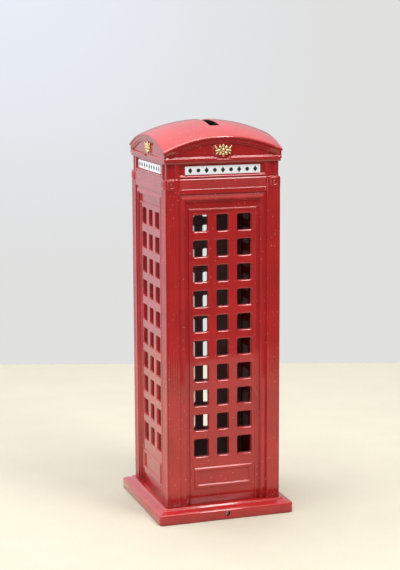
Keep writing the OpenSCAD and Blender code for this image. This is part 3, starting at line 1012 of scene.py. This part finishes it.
# %% Cut the base
def add_cutters(bm):
    """The door's pocket, the hinge's room, the coins' way out, and the holes for screws."""
    y, z = PIN_MIDDLE.yz
    add_block(bm, (-POCKET_HALF, DOOR_LOW.y - 0.2, BELOW), (POCKET_HALF, POCKET_BACK, DOOR_HIGH.z))
    add_block(bm, (-POCKET_HALF, y - HINGE_ROOM, BELOW), (POCKET_HALF, y + HINGE_ROOM, z + HINGE_ROOM))
    add_block(bm, (-MOUTH_HALF, MOUTH_FRONT, BELOW),
              (MOUTH_HALF, MOUTH_FRONT + 2 * MOUTH_HALF, ABOVE))
    add_rod(bm, (0, -BASE_HALF - 1, LOCK_MIDDLE.z), (0, DOOR_LOW.y, LOCK_MIDDLE.z), LOCK_BORE_R)
    for post in POSTS:
        x, y = (sum(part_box(post), Vector()) / 2 / MM).xy
        add_rod(bm, (x, y, BELOW), (x, y, ABOVE), STUD_HOLE_R)
        add_rod(bm, (x, y, BELOW), (x, y, SCREW_HEAD_T), SCREW_HEAD_R)


def add_rings(bm):
    """The rings that hold the hinge pin, hung from the top of the pocket."""
    y, z = PIN_MIDDLE.yz
    for low, high in RING_SPANS:
        add_rod(bm, (low, y, z), (high, y, z), RING_R)
        add_block(bm, (low, y - RING_R, z), (high, y + RING_R, RING_ROOF))


def add_bore(bm):
    y, z = PIN_MIDDLE.yz
    add_rod(bm, (-POCKET_HALF, y, z), (POCKET_HALF, y, z), PIN_BORE_R)


def add_plinth(bm):
    loft(bm, [[(x, y, z) for x, y in outline(half, half, radius)] for half, z, radius in BASE_ROWS])


def make_base():
    shapes = []
    for name, add in (("plinth", add_plinth), ("cutters", add_cutters), ("rings", add_rings),
                      ("bore", add_bore)):
        bm = bmesh.new()
        add(bm)
        shapes.append(new_object(name, bm))
    plinth, cutters, rings, bore = shapes
    bm = cut_mesh(plinth, [("DIFFERENCE", cutters), ("UNION", rings), ("DIFFERENCE", bore)])
    close_up(bm)
    for edge in bm.edges:
        edge.smooth = edge.calc_face_angle(0) < SHARP_ANGLE
    for face in bm.faces:
        middle = face.calc_center_median()
        inside = max(abs(middle.x), abs(middle.y)) < INNER_HALF and middle.z > DOOR_HIGH.z + 0.01
        face.material_index = PRIMED if inside else ENAMELLED
    return finish_piece("base_casting", bm, CASTING_FINISHES, "base")


base = make_base()
print("base:", len(base.data.polygons), "faces")

# %% [markdown]
# ## Steel parts
#
# The posts are plain dark rod, the screws are zinc plated, and the hinge pin is bright wire. They are
# all turned or drawn, so their grain runs round or along them. Stretched noise stands for it. They
# keep their CAD meshes, and a stack of modifiers rounds their edges: Weld joins the corners that the
# file format splits, a planar Decimate merges the triangles of each flat face, and Bevel does the
# rounding.

# %% Soften an edge
WELD_MM = 0.002
FLAT_ANGLE = math.radians(0.6)
EDGE_ANGLE = math.radians(32)


def soften(node, radius_mm, finish, edge_finish=None, segments=2):
    """Rounds the edges of a CAD node with modifiers, and gives it its finishes."""
    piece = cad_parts[node]
    mesh = piece.data
    mesh.materials.clear()
    for material in (finish, edge_finish or finish):
        mesh.materials.append(material)
    mesh.polygons.foreach_set("use_smooth", [True] * len(mesh.polygons))
    mesh.polygons.foreach_set("material_index", [0] * len(mesh.polygons))
    add_modifier(piece, "join split corners", "WELD", merge_threshold=WELD_MM * MM)
    add_modifier(piece, "merge flat faces", "DECIMATE", decimate_type="DISSOLVE",
                 angle_limit=FLAT_ANGLE)
    add_modifier(piece, "soft edges", "BEVEL", width=radius_mm * MM, segments=segments,
                 limit_method="ANGLE", angle_limit=EDGE_ANGLE, material=1)
    add_modifier(piece, "flat faces stay flat", "WEIGHTED_NORMAL")


print("edges are rounded from", round(math.degrees(EDGE_ANGLE)), "degrees")


# %% Steel
def steel(name, colour, dark, stretch, rough):
    finish, place = start_finish(name)
    grain = finish.noise(finish.place(stretch), 6.0, 3.0)
    stains = finish.noise(place, 0.5, 4.0, 0.6).rise(0.4, 0.7)
    shade = finish.mix(stains * 0.6 + grain * 0.3, colour, dark)
    return finish.surface(Base_Color=shade, Metallic=0.95, Roughness=rough + stains * 0.15,
                          Normal=finish.bump(grain * 0.01 + stains * 0.004))


post_steel = steel("dark_post_steel", (0.05, 0.045, 0.042), (0.02, 0.016, 0.014), (1, 1, 0.1), 0.42)
screw_zinc = steel("zinc_plated_screws", (0.55, 0.54, 0.50), (0.30, 0.27, 0.22), (1, 1, 1), 0.30)
pin_steel = steel("bright_pin_steel", (0.62, 0.61, 0.59), (0.35, 0.32, 0.30), (0.1, 1, 1), 0.25)

for name in POSTS:
    soften(name, 0.1, post_steel)
for name in ("base_screws", "lock_screw"):
    soften(name, 0.06, screw_zinc)
soften("hinge_pin", 0.12, pin_steel)
print("steel parts finished")

# %% [markdown]
# ## The coin door
#
# The door slides in the hand and over coins, so its thin enamel is scuffed: fine scratches let the
# bare zinc show, most of all along its edges and knuckles.


# %% Door finish
ZINC = (0.45, 0.44, 0.43)


def scuffed_enamel(name, wear):
    finish, place = start_finish(name)
    mottle = finish.noise(place, 0.9, 4.0, 0.6)
    scratches = finish.noise(finish.place((0.12, 2.4, 1)), 1.2, 6.0, 0.65).rise(0.60, 0.66)
    rubbed = finish.noise(place, 0.25, 6.0, 0.7).rise(0.62 - wear * 0.2, 0.70 - wear * 0.2)
    bare = (scratches * 0.7).most(rubbed)
    colour = finish.mix(mottle.rise(0.2, 0.8), DEEP_RED, RED)
    return finish.surface(
        Base_Color=finish.mix(bare, colour, ZINC), Metallic=bare * 0.9,
        Roughness=0.32 + mottle * 0.12 + bare * 0.12, Coat_Weight=(1 - bare) * 0.8,
        Coat_Roughness=0.12, Normal=finish.bump(mottle * 0.006 - bare * 0.012))


soften("coin_door", 0.18, scuffed_enamel("door_enamel", 0.0),
       scuffed_enamel("door_enamel_edge", 0.8), segments=3)
print("door finished")

# %% [markdown]
# ## Signs
#
# Each frieze holds a white sign with a row of black marks. The marks here are plain lozenges and
# discs that spell nothing. A sign is a thin plate with rounded corners, and its marks are raised
# islands of black ink, so they stay sharp however close the camera comes.

# %% Sign finishes
def sign_white():
    finish, place = start_finish("sign_white")
    mottle = finish.noise(place, 0.8, 4.0)
    dirt = finish.noise(place, 0.35, 5.0, 0.6).rise(0.5, 0.8)
    colour = finish.mix(mottle, (0.93, 0.94, 0.97), (0.86, 0.87, 0.90))
    colour = finish.mix(dirt * 0.3, colour, (0.66, 0.58, 0.56))
    return finish.surface(Base_Color=colour, Roughness=0.28 + dirt * 0.2, IOR=1.5,
                          Normal=finish.bump(mottle * 0.006))


def sign_ink():
    finish, place = start_finish("sign_black_ink")
    worn = finish.noise(place, 3.0, 4.0, 0.7).rise(0.55, 0.75)
    return finish.surface(Base_Color=finish.mix(worn * 0.5, (0.012, 0.012, 0.013), (0.12, 0.11, 0.11)),
                          Roughness=0.4 + worn * 0.2)


SIGN_FINISHES = [sign_white(), sign_ink()]
print("sign finishes:", [m.name for m in SIGN_FINISHES])

# %% Make the signs
MARKS = 9
MARK_PITCH = 2.95
MARK_HALF_W = 0.78
MARK_HALF_H = 1.05
DISC_R = 0.68
INK_T = 0.03


def make_sign(side):
    node = f"{side}_sign"
    half, low, high, inner, outer = side_box(node, side)
    thickness = outer - inner
    bm = bmesh.new()
    add_plate(bm, outline(half, (high - low) / 2, 0.25), 0, thickness - INK_T, inset=0.06)
    lozenge = [(MARK_HALF_W, 0), (0, MARK_HALF_H), (-MARK_HALF_W, 0), (0, -MARK_HALF_H)]
    disc = [(DISC_R * math.cos(math.radians(15 * i)), DISC_R * math.sin(math.radians(15 * i)))
            for i in range(24)]
    for i in range(MARKS):
        across = (i - (MARKS - 1) / 2) * MARK_PITCH
        points = lozenge if i % 2 == 0 else disc
        add_plate(bm, points, thickness - INK_T * 1.5, thickness, (across, 0), 0.01, index=1)
    return finish_piece(f"{side}_sign_plate", bm, SIGN_FINISHES, node,
                        side_matrix(side, inner * MM, (low + high) / 2 * MM))


signs = [make_sign(side) for side in TURNS]
print("signs:", [sign.name for sign in signs])

# %% [markdown]
# ## Gilt rosettes
#
# A little relief sits in the middle of each pediment, painted gold by hand. The relief is a plain
# rosette between two sprigs of leaves. Round forms that run into each other are best made as
# separate blobs, and then joined by a voxel Remesh, which leaves the soft creases of a casting.

# %% Gilding
def gilding():
    _, _, _, inner, outer = side_box("front_emblem", "front")
    finish, place = start_finish("gold_paint")
    x, y, _ = finish.parts(place)
    height = (abs(x).most(abs(y)) - inner) / (outer - inner)
    mottle = finish.noise(place, 2.2, 4.0, 0.6)
    missed = finish.noise(place, 0.9, 5.0, 0.7).rise(0.58, 0.68)
    gold = finish.mix(mottle.rise(0.3, 0.7), (0.80, 0.50, 0.18), (1.0, 0.82, 0.52))
    # Painted shade: the gold turns dark brown where the relief lies low, in its hollows.
    gold = finish.mix(height.rise(0.62, 0.25), gold, (0.10, 0.035, 0.012))
    colour = finish.mix(missed * 0.6, gold, DEEP_RED)
    return finish.surface(Base_Color=colour, Metallic=(1 - missed) * 0.85,
                          Roughness=0.26 + mottle * 0.2, Normal=finish.bump(mottle * 0.03))


gold_paint = gilding()
print("the gold paint has", len(gold_paint.node_tree.nodes), "nodes")

# %% Make the rosettes
PETALS = 8
PETAL_REACH = 1.5
PETAL_R = (0.72, 0.5)
HEART_R = 0.72
# Place across and up, half length and tilt in degrees of each leaf
LEAVES = ((2.4, 0.75, 0.72, 50), (2.85, 1.35, 0.5, 65), (2.5, -0.15, 0.6, 0), (2.3, -1.0, 0.6, -40))
LEAF_SLIM = 0.55
VOXEL_MM = 0.06


def add_blob(bm, centre, radii, turn=0.0):
    """An ellipsoid whose middle lies at centre."""
    blob = bmesh.ops.create_uvsphere(bm, u_segments=20, v_segments=12, radius=1)["verts"]
    shape = (Matrix.Translation(centre) @ Matrix.Rotation(turn, 4, "Z")
             @ Matrix.Diagonal((*radii, 1)))
    bmesh.ops.transform(bm, matrix=shape, verts=blob)


def rosette_blobs(bm, depth):
    """The heart, the petals round it, and a sprig of leaves on each side."""
    add_blob(bm, (0, 0, depth * 0.3), (HEART_R, HEART_R, depth * 0.68))
    for i in range(PETALS):
        angle = math.tau * i / PETALS
        at = (PETAL_REACH * math.cos(angle), PETAL_REACH * math.sin(angle), depth * 0.2)
        add_blob(bm, at, (*PETAL_R, depth * 0.7), angle)
    for side in (-1, 1):
        for reach, lift, size, tilt in LEAVES:
            add_blob(bm, (side * reach, lift, depth * 0.15), (size, size * LEAF_SLIM, depth * 0.65),
                     side * math.radians(tilt))


def make_emblem(side):
    node = f"{side}_emblem"
    half, low, high, inner, outer = side_box(node, side)
    depth = outer - inner
    bm = bmesh.new()
    rosette_blobs(bm, depth)
    bmesh.ops.bisect_plane(bm, geom=bm.verts[:] + bm.edges[:] + bm.faces[:],
                           plane_co=(0, 0, 0), plane_no=(0, 0, -1), clear_outer=True)
    bmesh.ops.holes_fill(bm, edges=[edge for edge in bm.edges if edge.is_boundary])
    blobs = new_object("blobs", bm)
    add_modifier(blobs, "fuse", "REMESH", mode="VOXEL", voxel_size=VOXEL_MM)
    add_modifier(blobs, "smooth", "SMOOTH", iterations=2)
    bm = take_result(blobs)
    for face in bm.faces:
        face.smooth = True
    for vert in bm.verts:
        vert.co.x = max(-half, min(half, vert.co.x))
        vert.co.z = max(0.0, min(depth, vert.co.z))
    return finish_piece(f"{side}_rosette", bm, [gold_paint], node,
                        side_matrix(side, inner * MM, (low + high) / 2 * MM))


emblems = [make_emblem(side) for side in TURNS]
print("rosettes:", [(e.name, len(e.data.polygons)) for e in emblems])

# %% [markdown]
# ## Table and light
#
# The bank stands on a pale table in a bright room. Gloss shows what is around an object as much as
# the light that falls on it, so the surroundings matter: a broad soft light overhead whitens the
# dome, a bright side on the left veils the left wall, and a darker side in front keeps the front
# wall a deep red. The world gives those, by direction, and area lights add shape and shadow. One of
# them is a narrow strip, high up and to the right of the front: it stands just where level edges of
# the front mirror it, which draws the thin bright line along each moulding.

# %% Table
TABLE_HALF = 0.229
TABLE_T = 0.02
TABLE_ROUND = 0.004
TABLE_CORNER = 0.01


def table_finish():
    finish, place = start_finish("pale_table")
    mottle = finish.noise(place, 0.05, 4.0, 0.6)
    grain = finish.noise(place, 1.4, 3.0)
    colour = finish.mix(mottle * 0.6 + grain * 0.4, (0.47, 0.435, 0.345), (0.56, 0.525, 0.42))
    return finish.surface(Base_Color=colour, Roughness=0.85, Normal=finish.bump(grain * 0.12))


bm = bmesh.new()
add_plate(bm, outline(TABLE_HALF, TABLE_HALF, TABLE_CORNER), -TABLE_T, 0, inset=TABLE_ROUND,
          smooth=False)
table = new_object("table", bm, [table_finish()])
table.rotation_euler.z = CAMERA_TURN
print("table:", round(2 * TABLE_HALF, 3), "m square")

# %% World
ROOM_GREY = (0.72, 0.75, 0.80)
WALL_GREY = (0.75, 0.75, 0.745)
WINDOW_BLUE = (0.82, 0.86, 0.94)


def make_world():
    """Pale where the camera looks past the table, and for reflections brighter on some sides."""
    finish = Finish(bpy.data.worlds.new("room"))
    x, y, z = finish.parts(finish.node("ShaderNodeTexCoord", out="Generated"))
    left = (x * -0.85 + y * 0.25).rise(-0.1, 0.7)
    behind = y.rise(0.0, 0.8)
    behind_high = behind * z.rise(0.0, 0.35)
    above = z.rise(0.25, 0.9)
    bright = left * 0.80 + behind * 0.35 + behind_high * 0.35 + above * 0.6 + 0.10
    room = finish.node("ShaderNodeVectorMath", {"operation": "SCALE"},
                       {0: ROOM_GREY, "Scale": bright})
    seen = finish.node("ShaderNodeLightPath", out="Is Camera Ray")
    across = x * math.cos(CAMERA_TURN) + y * math.sin(CAMERA_TURN)
    wall = finish.mix(z.rise(-0.17, 0.03) * across.rise(0.10, -0.13), WALL_GREY, WINDOW_BLUE)
    colour = finish.mix(seen, room, wall)
    shader = finish.node("ShaderNodeBackground", sockets={"Color": colour, "Strength": 1.0})
    return finish.end(shader, "ShaderNodeOutputWorld")


bpy.context.scene.world = make_world()
print("the room has", len(bpy.context.scene.world.node_tree.nodes), "nodes")
bpy.context.scene.view_settings.view_transform = "Standard"


# %% Lights
def area_light(name, place, size, watts, colour, along=(0, 0, 1)):
    """A panel of light that faces the bank's middle. along is the way its second size runs."""
    data = bpy.data.lights.new(name, "AREA")
    data.shape = "RECTANGLE"
    data.size, data.size_y = size
    data.energy = watts
    data.color = colour
    light = bpy.data.objects.new(name, data)
    back = (Vector(place) - MIDDLE).normalized()
    right = Vector(along).cross(back).normalized()
    turned = Matrix((right, back.cross(right), back)).transposed().to_4x4()
    light.matrix_world = Matrix.Translation(place) @ turned
    bpy.context.scene.collection.objects.link(light)


MIDDLE = Vector((0, 0, 0.07))
area_light("overhead", (-0.05, -0.02, 0.62), (0.5, 0.45), 4.0, (1.0, 0.99, 0.97))
area_light("left_window", (-0.75, -0.15, 0.30), (0.5, 0.6), 1.8, (0.97, 0.98, 1.0))
area_light("front_fill", (-0.20, -0.85, 0.45), (0.5, 0.4), 1.1, (1.0, 0.97, 0.94))
area_light("strip", (0.23, -0.39, 0.67), (0.09, 0.5), 3.0, (1.0, 0.98, 0.95), (0, 0.84, 0.54))

# %% [markdown]
